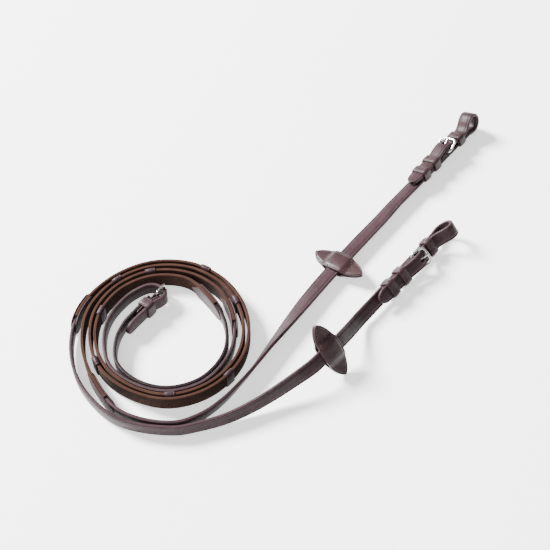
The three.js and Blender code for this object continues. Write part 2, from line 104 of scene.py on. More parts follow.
WIRE_RADIUS = 0.001
BUCKLE_HALF_WIDTH = 0.0083
BUCKLE_LENGTH = 0.012
BUCKLE_ROUND = 0.0028
BACK_BAR_HEIGHT = 0.0042
TONGUE_RADIUS = 0.00085
CHAPE_THICK = 0.0015
CHAPE_WIDTH = 0.0124
CHAPE_BOTTOM = 0.0016
KEEPER_LENGTH = 0.009
KEEPER_THICK = 0.0014
KEEPER_ROUND = 0.0014  # corner radius inside a keeper
KEEPER_CROWN = 0.00025
KEEPER_SIDE = 0.0002  # between a keeper and the strap's edges
KEEPER_PLAY = 0.0001  # between a keeper and the strap's faces
EYE_THICK = 0.00062  # half the thickness of the tongue's flat eye
GAP = 0.0003
LEAF_GAP = GAP * 0.3  # between the middle plane and a stop's leaf

STITCH_LENGTH = 0.0015
STITCH_PITCH = 0.0023
STITCH_RADIUS = 0.00026
CHAPE_SEAM_SIDE = 0.0046  # from the strap's middle
CHAPE_SEAM_START = -0.0165  # along the strap, from the front bar
CURVE_SAMPLES = 24  # points between two knots of a route
CORNER_STEPS = 6  # facets around a corner of a band or a slot

# ---- The lay of the two reins ----
COIL_CENTRE = (-0.154, 0.026)
COIL_HEIGHT = 0.0091
COIL_STEP = 30
STACK_START = -0.076
LOOP_START = 0.024

# radii: the coil's radius every 30 degrees from first_angle. tail: x, y, z and lean of the free strap.
LEFT = {
    "name": "left",
    "first_angle": 120,
    "radii": [
        0.0323, 0.037, 0.045, 0.0498, 0.0548, 0.0583, 0.0588, 0.0563, 0.0545, 0.059, 0.0589, 0.0576, 0.056,
        0.0546, 0.055, 0.0572, 0.0624, 0.0664, 0.0703, 0.0716, 0.0718, 0.071, 0.0694, 0.0676, 0.067, 0.0658,
        0.069, 0.0805,
    ],
    "tail": [
        (-0.198, -0.049, 0.0082, 0),
        (-0.176, -0.057, 0.0072, 4),
        (-0.154, -0.0575, 0.007, 9),
        (-0.133, -0.054, 0.007, 14),
        (-0.111, -0.0485, 0.007, 20),
        (-0.09, -0.042, 0.007, 29),
        (-0.062, -0.0338, 0.0071, 52),
        (-0.038, -0.027, 0.0072, 70),
        (-0.015, -0.021, 0.0072, 78),
        (0.008, -0.0156, 0.0072, 80),
        (0.032, -0.0106, 0.0072, 80),
        (0.056, -0.0056, 0.007, 79),
        (0.08, -0.0009, 0.0069, 75),
        (0.099, 0.0034, 0.007, 70),
    ],
    "end": {"at": (0.1934, 0.021, 0.007), "direction": 10.5, "lean": 68},
    "face_up": -1,
    "web_start": 352,
    "web_end": 917,
    "finger_stops": [478, 601, 707, 807],
    "martingale_stop": 0.182,
}
RIGHT = {
    "name": "right",
    "first_angle": 90,
    "radii": [
        0.0483, 0.047, 0.0476, 0.0514, 0.0534, 0.0582, 0.062, 0.0633, 0.064, 0.0656, 0.0653, 0.0644, 0.0626,
        0.061, 0.0589, 0.0596, 0.0613, 0.0666, 0.0708, 0.0748, 0.0761, 0.0762, 0.0759, 0.0742, 0.0726, 0.0738,
        0.0755, 0.0803, 0.0872,
    ],
    "tail": [
        (-0.2, -0.053, 0.0076, 0),
        (-0.18, -0.064, 0.0074, -4),
        (-0.16, -0.0723, 0.008, -8),
        (-0.14, -0.0776, 0.0096, -14),
        (-0.12, -0.0812, 0.0124, -20),
        (-0.098, -0.0843, 0.017, -28),
        (-0.078, -0.086, 0.0206, -41),
        (-0.062, -0.084, 0.0213, -42),
        (-0.046, -0.0818, 0.021, -42.5),
        (-0.03, -0.0769, 0.015, -44),
    ],
    "end": {"at": (0.077, -0.0546, 0.0084), "direction": 10.3, "lean": -45},
    "face_up": 1,
    "web_start": 330,
    "web_end": 848,
    "finger_stops": [421, 530, 645, 741],
    "martingale_stop": 0.1408,
}
# Shapes in a buckle's own plane: along the strap from the front bar, and above the strap's middle.
BIT_LOOP = [
    (0.03, -0.0012), (0.036, -0.001), (0.0404, 0.0024), (0.0418, 0.008), (0.0388, 0.0132), (0.033, 0.0146),
    (0.028, 0.0116), (0.024, 0.0074), (0.0196, 0.0048), (0.013, 0.0044), (0.007, 0.0045), (0.003, 0.0054),
    (-0.002, 0.0074), (-0.008, 0.0089), (-0.014, 0.0089), (-0.02, 0.0076), (-0.026, 0.006), (-0.032, 0.0058),
    (-0.042, 0.0056), (-0.05, 0.0056), (-0.058, 0.0054), (-0.066, 0.005),
]
CENTRE_HAIRPIN = [
    (-0.054, 0.0068), (-0.046, 0.006), (-0.037, 0.0059), (-0.029, 0.0062), (-0.023, 0.0065), (-0.018, 0.007),
    (-0.012, 0.009), (-0.007, 0.0094), (-0.0036, 0.0066), (-0.0029, 0.002), (-0.0036, -0.003),
    (-0.0074, -0.0086), (-0.0156, -0.0129),
]
CENTRE = {"at": (-0.123, 0.065, 0.0095), "direction": 13, "lean": 0}
CENTRE_STRAP = [(-0.0165, 0), (-0.041, 0)]

BIT_BUCKLE = {"front": 0.0098, "chape_end": -0.058, "seam_end": -0.0565}
CENTRE_BUCKLE = {"front": 0.003, "chape_end": -0.038, "seam_end": -0.0365}
# Slots for the tongue: middle, tilt in degrees, and length, width and depth.
BIT_HOLE = {"at": (-0.0072, 0.008), "tilt": 17, "size": (0.0048, 0.0026, 0.008)}
CENTRE_HOLE = {"at": (-0.004, 0.0056), "tilt": 0, "size": (0.0075, 0.0026, 0.0058)}
CHAPE_HOLE = {"at": (-BUCKLE_LENGTH + 0.0005, BACK_BAR_HEIGHT), "tilt": 0, "size": (0.0085, 0.0034, 0.012)}
# Keepers: name, middle along the strap, and height of the billet's middle above the strap's.
BIT_KEEPERS = [
    ("bit_runner", 0.011, 0.0048), ("fixed_keeper", -0.031, 0.0058), ("tip_runner", -0.048, 0.0056),
]
CENTRE_KEEPER = ("keeper", -0.024, 0.0066)


# ---- Camera ----
def make_camera():
    target = Vector((-0.0336, 0.017, 0)) + Vector(ORIGIN)
    azimuth, elevation, distance = math.radians(-40), math.radians(54), 0.9625
    back = Vector((
        math.cos(elevation) * math.sin(azimuth),
        -math.cos(elevation) * math.cos(azimuth),
        math.sin(elevation),
    ))
    camera = bpy.data.objects.new("camera", bpy.data.cameras.new("camera"))
    bpy.context.scene.collection.objects.link(camera)
    camera.data.lens = 70
    camera.data.sensor_width = 36
    camera.location = target + back * distance
    camera.rotation_euler = back.to_track_quat("Z", "Y").to_euler()
    bpy.context.scene.camera = camera


# ---- Routes ----
def catmull_rom(points):
    """A dense line through the points, as a centripetal Catmull-Rom curve, and its share of the points."""
    p = np.asarray(points, float)
    p = np.vstack([2 * p[0] - p[1], p, 2 * p[-1] - p[-2]])
    t = np.linspace(0, 1, CURVE_SAMPLES, endpoint=False)[:, None]
    line, knots = [], []
    for i in range(len(p) - 3):
        p0, p1, p2, p3 = p[i:i + 4]
        pairs = ((p0, p1), (p1, p2), (p2, p3))
        d0, d1, d2 = (max(np.linalg.norm(b - a) ** 0.5, 1e-9) for a, b in pairs)
        m1 = ((p1 - p0) / d0 - (p2 - p0) / (d0 + d1) + (p2 - p1) / d1) * d1
        m2 = ((p2 - p1) / d1 - (p3 - p1) / (d1 + d2) + (p3 - p2) / d2) * d1
        c2 = -3 * p1 + 3 * p2 - 2 * m1 - m2
        c3 = 2 * p1 - 2 * p2 + m1 + m2
        line.append(p1 + m1 * t + c2 * t ** 2 + c3 * t ** 3)
        knots.append(i + t[:, 0])
    line.append(p[-2:-1])
    knots.append([len(p) - 3])
    return np.vstack(line), np.concatenate(knots)


def unit(v):
    return v / np.linalg.norm(v, axis=-1, keepdims=True)


class Line:
    """A strap's middle line. at() gives points and the ways along, across and through the strap."""

    def __init__(self, points, leans=None, across=None):
        self.line, self.knots = catmull_rom(points)
        steps = np.linalg.norm(np.diff(self.line, axis=0), axis=1)
        self.lengths = np.concatenate([[0], np.cumsum(steps)])
        self.length = self.lengths[-1]
        self.leans, self.across = leans, across

    def length_at_knot(self, knot):
        return float(np.interp(knot, self.knots, self.lengths))

    def place(self, distances):
        return np.stack([np.interp(distances, self.lengths, self.line[:, k]) for k in range(3)], 1)

    def at(self, distances):
        s = np.clip(np.atleast_1d(distances), 0, self.length)
        reach = 0.0012  # a direction is taken over this length to both sides
        ahead, behind = np.clip(s + reach, 0, self.length), np.clip(s - reach, 0, self.length)
        along = unit(self.place(ahead) - self.place(behind))
        if self.across is not None:
            across = np.tile(self.across, (len(s), 1))
        else:
            knots = np.interp(s, self.lengths, self.knots)
            lean = np.radians(np.interp(knots, np.arange(len(self.leans)), self.leans))[:, None]
            outward = unit(np.stack([along[:, 1], -along[:, 0], np.zeros(len(s))], 1))
            across = np.cross(outward, along) * np.cos(lean) + outward * np.sin(lean)
        return self.place(s), along, across, np.cross(along, across)


def joined(*parts):
    """Stations of several lines, one after another."""
    return tuple(np.vstack([part[k] for part in parts]) for k in range(4))


def spread(start, end, step):
    return np.linspace(start, end, max(2, int(round(abs(end - start) / step)) + 1))


class Buckle:
    """The frame of a buckle: x along the strap, z out of the face that the buckle is on."""

    def __init__(self, place, face_up):
        turn, lean = math.radians(place["direction"]), math.radians(place["lean"])
        self.x = np.array([math.cos(turn), math.sin(turn), 0])
        outward = np.array([self.x[1], -self.x[0], 0])
        self.across = np.array([0, 0, math.cos(lean)]) + outward * math.sin(lean)
        self.z = np.cross(self.x, self.across) * face_up
        self.y = np.cross(self.z, self.x)
        self.origin = np.array(place["at"]) + ORIGIN

    def point(self, x, y, z):
        values = [np.asarray(v, float)[..., None] for v in (x, y, z)]
        return self.origin + values[0] * self.x + values[1] * self.y + values[2] * self.z

    def line(self, points):
        x, z = np.array(points).T
        return Line(self.point(x, np.zeros(len(x)), z), across=self.across)

    def matrix(self):
        m = np.eye(4)
        m[:3, 0], m[:3, 1], m[:3, 2], m[:3, 3] = self.x, self.y, self.z, self.origin
        return m


class Rein:
    """One rein: its middle line, from the centre buckle to the start of the straight bit end."""

    def __init__(self, data, lead, centre):
        self.data = data
        self.name = data["name"]
        self.bit = Buckle(data["end"], data["face_up"])
        end = data["end"]
        lead_points = [centre.point(x, 0, z) - ORIGIN for x, z in lead]
        knots = [(*p[:2], CENTRE["at"][2], 0) for p in lead_points]
        for i, radius in enumerate(data["radii"]):
            angle = math.radians(data["first_angle"] + i * COIL_STEP)
            x = COIL_CENTRE[0] + radius * math.cos(angle)
            y = COIL_CENTRE[1] + radius * math.sin(angle)
            knots.append((x, y, COIL_HEIGHT, 0))
        knots += data["tail"]
        for u in (STACK_START - 0.014, STACK_START):
            p = self.bit.point(u, 0, 0) - ORIGIN
            knots.append((p[0], p[1], end["at"][2], end["lean"]))
        knots = np.array(knots)
        self.lead = len(lead)
        self.line = Line(knots[:, :3] + ORIGIN, leans=knots[:, 3])

    def at_angle(self, angle):
        return self.line.length_at_knot(self.lead + (angle - self.data["first_angle"]) / COIL_STEP)


# ---- Meshes ----
def make_object(name, verts, faces, material, body, nodes=(), strap=None):
    mesh = bpy.data.meshes.new(name)
    mesh.from_pydata(np.asarray(verts).tolist(), [], faces)
    mesh.validate()
    if strap is not None and len(strap) == len(mesh.vertices):
        attribute = mesh.attributes.new("strap", "FLOAT_VECTOR", "POINT")
        attribute.data.foreach_set("vector", np.asarray(strap, np.float32).ravel())
    piece = bpy.data.objects.new(name, mesh)
    bpy.context.scene.collection.objects.link(piece)
    mesh.materials.append(material)
    mesh.shade_smooth()
    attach(piece, body)
    if nodes:
        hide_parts(*nodes)
    return piece


def ring_faces(rings, size, looped=False):
    """Quads between rings of equal size, with a flat cap at each end unless they close on themselves."""
    faces = []
    for i in range(rings if looped else rings - 1):
        a, b = i * size, ((i + 1) % rings) * size
        for j in range(size):
            k = (j + 1) % size
            faces.append((a + j, a + k, b + k, b + j))
    if not looped:
        faces.append(tuple(reversed(range(size))))
        faces.append(tuple(range((rings - 1) * size, rings * size)))
    return faces


def swept(stations, sections):
    """Rings of a strap. Sections hold [across, through] points, one set for all rings or one for each."""
    points, along, across, through = stations
    sections = np.asarray(sections, float)
    if sections.ndim == 2:
        sections = np.tile(sections, (len(points), 1, 1))
    rings = points[:, None] + across[:, None] * sections[..., :1] + through[:, None] * sections[..., 1:]
    steps = np.linalg.norm(np.diff(points, axis=0), axis=1)
    distance = np.concatenate([[0], np.cumsum(steps)])
    strap = np.concatenate([
        np.broadcast_to(distance[:, None, None], sections[..., :1].shape), sections,
    ], axis=2)
    return rings.reshape(-1, 3), ring_faces(len(points), sections.shape[1]), strap.reshape(-1, 3)


def leather_section(width, thick, middle=0.0, bevel=BEVEL, crease=CREASE_INSET, depth=CREASE_DEPTH):
    """Half-round edges and a pressed line along both edges of both faces, anticlockwise."""
    w, t = width / 2, thick / 2
    r = min(bevel, t * 0.95)
    line = w - crease
    face = [(w - r, 0), (line + 0.0003, 0), (line, -depth), (line - 0.0003, 0), (w * 0.35, 0.00006)]
    top = face + [(-x, z) for x, z in reversed(face)]
    arc = [math.radians(a) for a in (0, 22, 45, 68)]
    quarter = [(w - r + r * math.cos(a), t - r + r * math.sin(a)) for a in arc]
    upper = quarter + [(x, t + z) for x, z in top]
    upper += [(-x, z) for x, z in reversed(quarter)]
    lower = [(-x, -z) for x, z in upper]
    section = np.array(upper + lower)
    section[:, 1] += middle
    return section


def web_section():
    """A flat tubular web: rounded selvedges with a shallow groove along the middle of each edge."""
    w, t = WEB_WIDTH / 2, WEB_THICK / 2
    r = t * 0.8
    edge = []
    for a in (0, 18, 36, 60, 90):
        angle = math.radians(a)
        inset = 0.00022 * max(0.0, 1 - a / 30)
        edge.append((w - r + r * math.cos(angle) - inset, t - r + r * math.sin(angle)))
    face = [(w * share, t) for share in (0.82, 0.6, 0.3, 0)]
    upper = edge + face + [(-x, z) for x, z in reversed(edge + face[:-1])]
    return np.array(upper + [(-x, -z) for x, z in upper])


def ends_tapered(section, distances, length, tip, start=False):
    """Sections that narrow over a strap's last stretch to a rounded point."""
    left = distances if start else length - distances
    share = np.clip(left / tip, 0, 1)
    width = np.maximum(0.08, np.sqrt(np.clip(1 - (1 - share) ** 2.2, 0, 1)))
    sections = np.tile(section, (len(distances), 1, 1))
    sections[..., 0] *= width[:, None]
    return sections


def capsule(start, end, out, radius):
    """One stitch: a bead from start to end, a little sunk into the leather at both ends."""
    along = unit(end - start)
    side = np.cross(along, out)
    middle = (start + end) / 2
    half = np.linalg.norm(end - start) / 2
    rings = []
    shape = ((-1, 0.35, -0.8), (-0.7, 0.9, -0.1), (0, 1.0, 0.15), (0.7, 0.9, -0.1), (1, 0.35, -0.8))
    for share, size, lift in shape:
        centre = middle + along * half * share + out * radius * lift
        for k in range(6):
            a = math.pi * k / 3
            rings.append(centre + (side * math.cos(a) + out * math.sin(a)) * radius * size)
    return rings


def on_seam(distance, lengths, values):
    return np.array([np.interp(distance, lengths, values[:, k]) for k in range(3)])


def add_stitches(name, seams, body):
    """Seams are (points, outward) pairs: a dense line on the leather and the way out of it at each point."""
    verts, faces = [], []
    for points, outward in seams:
        steps = np.linalg.norm(np.diff(points, axis=0), axis=1)
        lengths = np.concatenate([[0], np.cumsum(steps)])
        count = max(1, int(lengths[-1] / STITCH_PITCH))
        for i in range(count):
            middle = lengths[-1] * (i + 0.5) / count
            ends = (middle - STITCH_LENGTH / 2, middle + STITCH_LENGTH / 2)
            a, b = (on_seam(s, lengths, points) for s in ends)
            out = unit(on_seam(middle, lengths, outward))
            base = len(verts)
            verts += capsule(a, b, out, STITCH_RADIUS)
            faces += [tuple(base + k for k in f) for f in ring_faces(5, 6)]
    make_object(name, verts, faces, THREAD, body)


# ---- Materials ----
def new_material(name, colour, roughness, **sockets):
    material = bpy.data.materials.new(name)
    material.use_nodes = True
    tree = material.node_tree
    shader = tree.nodes["Principled BSDF"]
    shader.inputs["Base Color"].default_value = (*colour, 1)
    shader.inputs["Roughness"].default_value = roughness
    for key, value in sockets.items():
        shader.inputs[key.replace("_", " ")].default_value = value
    return material, tree, shader


def node(tree, kind, inputs=None, **settings):
    made = tree.nodes.new(kind)
    for key, value in settings.items():
        setattr(made, key, value)
    for key, value in (inputs or {}).items():
        if isinstance(value, bpy.types.NodeSocket):
            tree.links.new(value, made.inputs[key])
        else:
            made.inputs[key].default_value = value
    return made


def math_node(tree, operation, a, b=None, clamp=False):
    made = node(tree, "ShaderNodeMath", {0: a}, operation=operation, use_clamp=clamp)
    if b is not None:
        if isinstance(b, bpy.types.NodeSocket):
            tree.links.new(b, made.inputs[1])
        else:
            made.inputs[1].default_value = b
    return made.outputs[0]


def noise(tree, vector, scale, detail=3.0, rough=0.5):
    inputs = {"Vector": vector, "Scale": scale, "Detail": detail, "Roughness": rough}
    return node(tree, "ShaderNodeTexNoise", inputs).outputs["Fac"]


def blend_colours(tree, factor, a, b):
    made = node(tree, "ShaderNodeMix", data_type="RGBA")
    for index, value in ((0, factor), (6, a), (7, b)):
        if isinstance(value, bpy.types.NodeSocket):
            tree.links.new(value, made.inputs[index])
        elif index == 0:
            made.inputs[0].default_value = value
        else:
            made.inputs[index].default_value = (*value, 1)
    return made.outputs[2]


def ramp(tree, value, low, high):
    made = node(tree, "ShaderNodeMapRange", {"Value": value, "From Min": low, "From Max": high})
    made.interpolation_type = "SMOOTHSTEP"
    return made.outputs["Result"]


def leather(name, colour, dark, light, half_width=None, roughness=0.42, specular=0.14, coat=0.02):
    """Bridle leather: mottled, with pores, fine wrinkles, wear and, on straps, dark burnished edges."""
    material, tree, shader = new_material(
        name, colour, roughness, Specular_IOR_Level=specular, Coat_Weight=coat, Coat_Roughness=0.3,
    )
    place = node(tree, "ShaderNodeTexCoord").outputs["Object"]
    mottle = ramp(tree, noise(tree, place, 90.0, 4.0), 0.35, 0.68)
    patch = ramp(tree, noise(tree, place, 22.0, 2.0), 0.38, 0.66)
    pores = node(
        tree, "ShaderNodeTexVoronoi", {"Vector": place, "Scale": 1300.0}, feature="DISTANCE_TO_EDGE",
    )
    pore = ramp(tree, pores.outputs["Distance"], 0.0, 0.25)
    wrinkles = noise(tree, place, 420.0, 5.0, 0.62)
    tone = blend_colours(tree, mottle, colour, dark)
    tone = blend_colours(tree, math_node(tree, "MULTIPLY", patch, 0.45), tone, light)
    between_pores = math_node(tree, "SUBTRACT", 1.0, pore)
    tone = blend_colours(tree, math_node(tree, "MULTIPLY", between_pores, 0.35), tone, dark)
    if half_width:
        strap = node(tree, "ShaderNodeAttribute", attribute_name="strap").outputs["Vector"]
        parts = node(tree, "ShaderNodeSeparateXYZ", {"Vector": strap}).outputs
        across = math_node(tree, "ABSOLUTE", parts[1])
        wander = math_node(tree, "MULTIPLY", wrinkles, 0.0008)
        reach = math_node(tree, "ADD", across, wander)
        edge = ramp(tree, reach, half_width - 0.0010, half_width + 0.0001)
        tone = blend_colours(tree, math_node(tree, "MULTIPLY", edge, 0.85), tone, EDGE_COLOUR)
        off = math_node(tree, "ABSOLUTE", math_node(tree, "SUBTRACT", across, half_width - CREASE_INSET))
        line = math_node(tree, "SUBTRACT", 1.0, ramp(tree, off, 0.00012, 0.00045))
        tone = blend_colours(tree, math_node(tree, "MULTIPLY", line, 0.6), tone, EDGE_COLOUR)
    tree.links.new(tone, shader.inputs["Base Color"])
    gloss = math_node(tree, "ADD", math_node(tree, "MULTIPLY", wrinkles, 0.22), roughness - 0.1)
    tree.links.new(gloss, shader.inputs["Roughness"])
    height = math_node(tree, "ADD", math_node(tree, "MULTIPLY", pore, 0.6), wrinkles)
    bump = node(tree, "ShaderNodeBump", {"Height": height, "Strength": 0.4, "Distance": 0.00018})
    tree.links.new(bump.outputs["Normal"], shader.inputs["Normal"])
    return material


def web_material():
    """Cotton web: fine ribs across, warp threads along, painted shade in the grooves between the ribs and in
    the groove along the middle of each edge, and a fuzzy surface.
    """
    material, tree, shader = new_material(
        "web", WEB_COLOUR, 0.9, Specular_IOR_Level=0.05, Sheen_Weight=0.03, Sheen_Roughness=0.5,
    )
    place = node(tree, "ShaderNodeTexCoord").outputs["Object"]
    strap = node(tree, "ShaderNodeAttribute", attribute_name="strap").outputs["Vector"]
    parts = node(tree, "ShaderNodeSeparateXYZ", {"Vector": strap}).outputs
    fuzz = noise(tree, place, 1500.0, 4.0, 0.7)
    drift = noise(tree, place, 60.0, 3.0)
    turn = math_node(tree, "MULTIPLY", parts[0], 2 * math.pi / RIB_PITCH)
    rib = math_node(tree, "ADD", math_node(tree, "MULTIPLY", math_node(tree, "SINE", turn), 0.5), 0.5)
    threads = math_node(tree, "MULTIPLY", parts[1], 2 * math.pi / WARP_PITCH)
    warp = math_node(tree, "ADD", math_node(tree, "MULTIPLY", math_node(tree, "SINE", threads), 0.5), 0.5)
    across = math_node(tree, "ABSOLUTE", parts[1])
    selvedge = ramp(tree, across, WEB_WIDTH / 2 - 0.0016, WEB_WIDTH / 2 - 0.0008)
    plain = math_node(tree, "MULTIPLY", selvedge, 0.8)
    # painted shade: darker in the modelled grooves between the ribs, but not on the plain selvedges
    ribbed = math_node(tree, "MAXIMUM", ramp(tree, rib, 0.0, 0.75), plain)
    tone = blend_colours(tree, ribbed, WEB_DARK, WEB_COLOUR)
    tone = blend_colours(tree, math_node(tree, "MULTIPLY", warp, 0.3), tone, WEB_DARK)
    for pattern, low, high, amount in ((drift, 0.4, 0.7, 0.5), (fuzz, 0.55, 0.8, 0.4)):
        share = math_node(tree, "MULTIPLY", ramp(tree, pattern, low, high), amount)
        tone = blend_colours(tree, share, tone, WEB_LIGHT)
    # painted shade: a dark line in the groove along the middle of each edge
    depth = math_node(tree, "ABSOLUTE", parts[2])
    groove = math_node(tree, "SUBTRACT", 1.0, ramp(tree, depth, 0.0, 0.0005))
    on_edge = ramp(tree, across, WEB_WIDTH / 2 - 0.002, WEB_WIDTH / 2 - 0.0006)
    edge = math_node(tree, "MULTIPLY", groove, on_edge)
    tone = blend_colours(tree, math_node(tree, "MULTIPLY", edge, 0.75), tone, WEB_DARK)
    tree.links.new(tone, shader.inputs["Base Color"])
    height = math_node(tree, "ADD", math_node(tree, "MULTIPLY", warp, 0.5), fuzz)
    bump = node(tree, "ShaderNodeBump", {"Height": height, "Strength": 0.7, "Distance": 0.0002})
    tree.links.new(bump.outputs["Normal"], shader.inputs["Normal"])
    return material


def steel_material():
    material, tree, shader = new_material("nickel", (0.78, 0.77, 0.75), 0.2, Metallic=1.0)
    place = node(tree, "ShaderNodeTexCoord").outputs["Object"]
    stretched = node(tree, "ShaderNodeMapping", {"Vector": place, "Scale": (1.0, 6.0, 1.0)}).outputs[0]
    smears = noise(tree, stretched, 500.0, 4.0)
    gloss = math_node(tree, "ADD", math_node(tree, "MULTIPLY", smears, 0.25), 0.08)
    tree.links.new(gloss, shader.inputs["Roughness"])
    cloudy = ramp(tree, noise(tree, place, 300.0), 0.45, 0.8)
    tone = blend_colours(tree, cloudy, (0.62, 0.61, 0.59), (0.42, 0.4, 0.38))
    tree.links.new(tone, shader.inputs["Base Color"])
    bump = node(tree, "ShaderNodeBump", {"Height": smears, "Strength": 0.15, "Distance": 0.00005})
    tree.links.new(bump.outputs["Normal"], shader.inputs["Normal"])
    return material


def thread_material():
    material, tree, shader = new_material("thread", (0.045, 0.016, 0.014), 0.6, Sheen_Weight=0.1)
    place = node(tree, "ShaderNodeTexCoord").outputs["Object"]
    twist = noise(tree, place, 2500.0, 2.0)
    ply = ramp(tree, twist, 0.35, 0.65)
    tone = blend_colours(tree, ply, (0.07, 0.026, 0.022), (0.025, 0.008, 0.007))
    tree.links.new(tone, shader.inputs["Base Color"])
    bump = node(tree, "ShaderNodeBump", {"Height": twist, "Strength": 0.4, "Distance": 0.0001})
    tree.links.new(bump.outputs["Normal"], shader.inputs["Normal"])
    return material


EDGE_COLOUR = (0.005, 0.002, 0.0025)
WEB_COLOUR = (0.043, 0.0195, 0.0135)
# WEB_DARK is the dark of the warp threads and also the painted shade in the rib grooves and the edge groove
WEB_DARK = (0.011, 0.0048, 0.0036)
WEB_LIGHT = (0.06, 0.0285, 0.0205)
STRAP_LEATHER = leather(
    "strap_leather", (0.029, 0.0136, 0.0166), (0.0155, 0.0068, 0.0084), (0.045, 0.024, 0.029),
    half_width=LEATHER_WIDTH / 2,
)
KEEPER_LEATHER = leather(
    "keeper_leather", (0.031, 0.015, 0.017), (0.0155, 0.0069, 0.008), (0.05, 0.0265, 0.03),
    roughness=0.36, specular=0.22,
)
FACING_LEATHER = leather(
    "facing_leather", (0.031, 0.0145, 0.017), (0.016, 0.007, 0.0082), (0.049, 0.0265, 0.0305),
    roughness=0.4,
)
STOP_LEATHER = leather(
    "stop_leather", (0.027, 0.0118, 0.0134), (0.013, 0.0053, 0.0061), (0.044, 0.021, 0.0235),
    roughness=0.33, specular=0.24, coat=0.05,
)
WEB = web_material()
STEEL = steel_material()
THREAD = thread_material()


# ---- Pieces of one rein ----
def web_grip(rein):
    start, end = rein.at_angle(rein.data["web_start"]), rein.at_angle(rein.data["web_end"])
    distances = spread(start, end, RIB_PITCH / 4)
    section = web_section()
    ribs = RIB_HEIGHT * (0.5 * np.sin(2 * math.pi * (distances - start) / RIB_PITCH) - 0.5)
    sections = np.tile(section, (len(distances), 1, 1))
    on_face = np.clip((np.abs(section[:, 1]) / (WEB_THICK / 2) - 0.5) * 2, 0, 1)
    on_face *= 1 - 0.8 * np.clip((np.abs(section[:, 0]) / (WEB_WIDTH / 2) - 0.86) / 0.1, 0, 1)
    sections[..., 1] += np.sign(section[:, 1]) * on_face * ribs[:, None]
    verts, faces, strap = swept(rein.line.at(distances), sections)
    name = f"{rein.name}_web"
    make_object(name, verts, faces, WEB, "root", [f"{rein.name}_web_grip"], strap)


def facing(rein, splice, face, web_edge, sign):
    """A thin leaf over the joint of web and strap, with a point on the web and a round end on the strap."""
    length = FACING_ON_LEATHER + FACING_ON_WEB
    local = spread(0, length, FACING_STEP)
    at_centre = splice == "centre_splice"
    start = web_edge - (FACING_ON_LEATHER if at_centre else FACING_ON_WEB)
    from_point = length - local if at_centre else local
    point = np.clip(from_point / FACING_POINT, 0, 1)
    blunt = np.clip((length - from_point) / FACING_BLUNT, 0, 1)
    narrow = FACING_END_WIDTH / FACING_WIDTH
    taper = narrow + (1 - narrow) * np.clip((length - from_point) / FACING_ON_LEATHER, 0, 1)
    rounded = np.sqrt(1 - (1 - blunt) ** 2)
    width = np.minimum(0.06 + 0.94 * point, taper * (0.06 + 0.94 * rounded))
    from_end = np.minimum(from_point, length - from_point)
    skive = 0.45 + 0.55 * np.clip(from_end / FACING_SKIVE, 0, 1)
    section = leather_section(FACING_WIDTH, FACING_THICK, bevel=THIN_BEVEL, depth=0)
    sections = np.tile(section, (len(local), 1, 1))
    sections[..., 0] *= width[:, None]
    lifted = (sections[..., 1] + FACING_THICK / 2) * skive[:, None]
    sections[..., 1] = lifted + LEATHER_THICK / 2 + FACING_LIFT
    if sign < 0:
        sections = sections[:, ::-1]
        sections[..., 1] *= -1
    verts, faces, strap = swept(rein.line.at(start + local), sections)
    node_name = f"{rein.name}_{splice}_{face}"
    make_object(
        f"{node_name}_leaf", verts, faces, FACING_LEATHER, "root", [node_name], strap,
    )
    return facing_seams(rein, start, local, width, skive, sign)


def facing_seams(rein, start, local, width, skive, sign):
    """Two seams along a facing's edges, which close to a V at its point."""
    points, along, across, through = rein.line.at(start + local)
    height = sign * (LEATHER_THICK / 2 + FACING_THICK * skive)
    half = np.maximum(width * FACING_WIDTH / 2 - FACING_SEAM_INSET, 0)
    seams = []
    kept = half > 0.0002
    for side in (-1, 1):
        line = points + across * (side * half)[:, None] + through * height[:, None]
        seams.append((line[kept], through[kept] * sign))
    return seams


def splices(rein):
    seams = []
    for splice, end in (("centre_splice", "web_start"), ("bit_splice", "web_end")):
        web_edge = rein.at_angle(rein.data[end])
        for face, sign in (("inner", -1), ("outer", 1)):
            seams += facing(rein, splice, face, web_edge, sign)
    add_stitches(f"{rein.name}_splice_stitches", seams, "root")


def rounded_rectangle(half, low, high, radius):
    """Points of a closed outline and the outward normal at each, anticlockwise."""
    outline, normals = [], []
    corners = [(half, high, 0), (-half, high, 90), (-half, low, 180), (half, low, 270)]
    for y, z, begin in corners:
        cy = y - math.copysign(radius, y)
        cz = z - radius if z == high else z + radius
        for k in range(CORNER_STEPS + 1):
            a = math.radians(begin + 90 * k / CORNER_STEPS)
            normals.append((math.cos(a), math.sin(a)))
            outline.append((cy + radius * math.cos(a), cz + radius * math.sin(a)))
    return np.array(outline), np.array(normals)


def subdivided(outline, normals, step):
    """More points on the long straight sides of an outline."""
    points, outs = [], []
    for i in range(len(outline)):
        a, b = outline[i], outline[(i + 1) % len(outline)]
        na, nb = normals[i], normals[(i + 1) % len(normals)]
        count = max(1, int(np.linalg.norm(b - a) / step))
        for k in range(count):
            points.append(a + (b - a) * k / count)
            outs.append(unit(na + (nb - na) * k / count))
    return np.array(points), np.array(outs)


def band(basis, half, low, high, length, thick, radius, crown):
    """A leather loop around a stack: basis is its centre and its x, y and z ways, with x along the strap."""
    outline, normals = subdivided(*rounded_rectangle(half, low, high, radius), BAND_STEP)
    profile = leather_section(
        length, thick, middle=thick / 2, bevel=THIN_BEVEL, crease=BAND_CREASE_INSET, depth=BAND_CREASE_DEPTH,
    )
    swell = crown * (1 - (2 * profile[:, 0] / length) ** 2)
    profile[:, 1] += np.where(profile[:, 1] > thick / 2, swell, 0)
    centre, x, y, z = basis
    verts, strap = [], []
    for (py, pz), (ny, nz) in zip(outline, normals):
        for along, out in profile:
            verts.append(centre + x * along + y * (py + ny * out) + z * (pz + nz * out))
            strap.append((along, py, pz))
    faces = ring_faces(len(outline), len(profile), looped=True)
    return np.array(verts), [tuple(reversed(f)) for f in faces], np.array(strap)


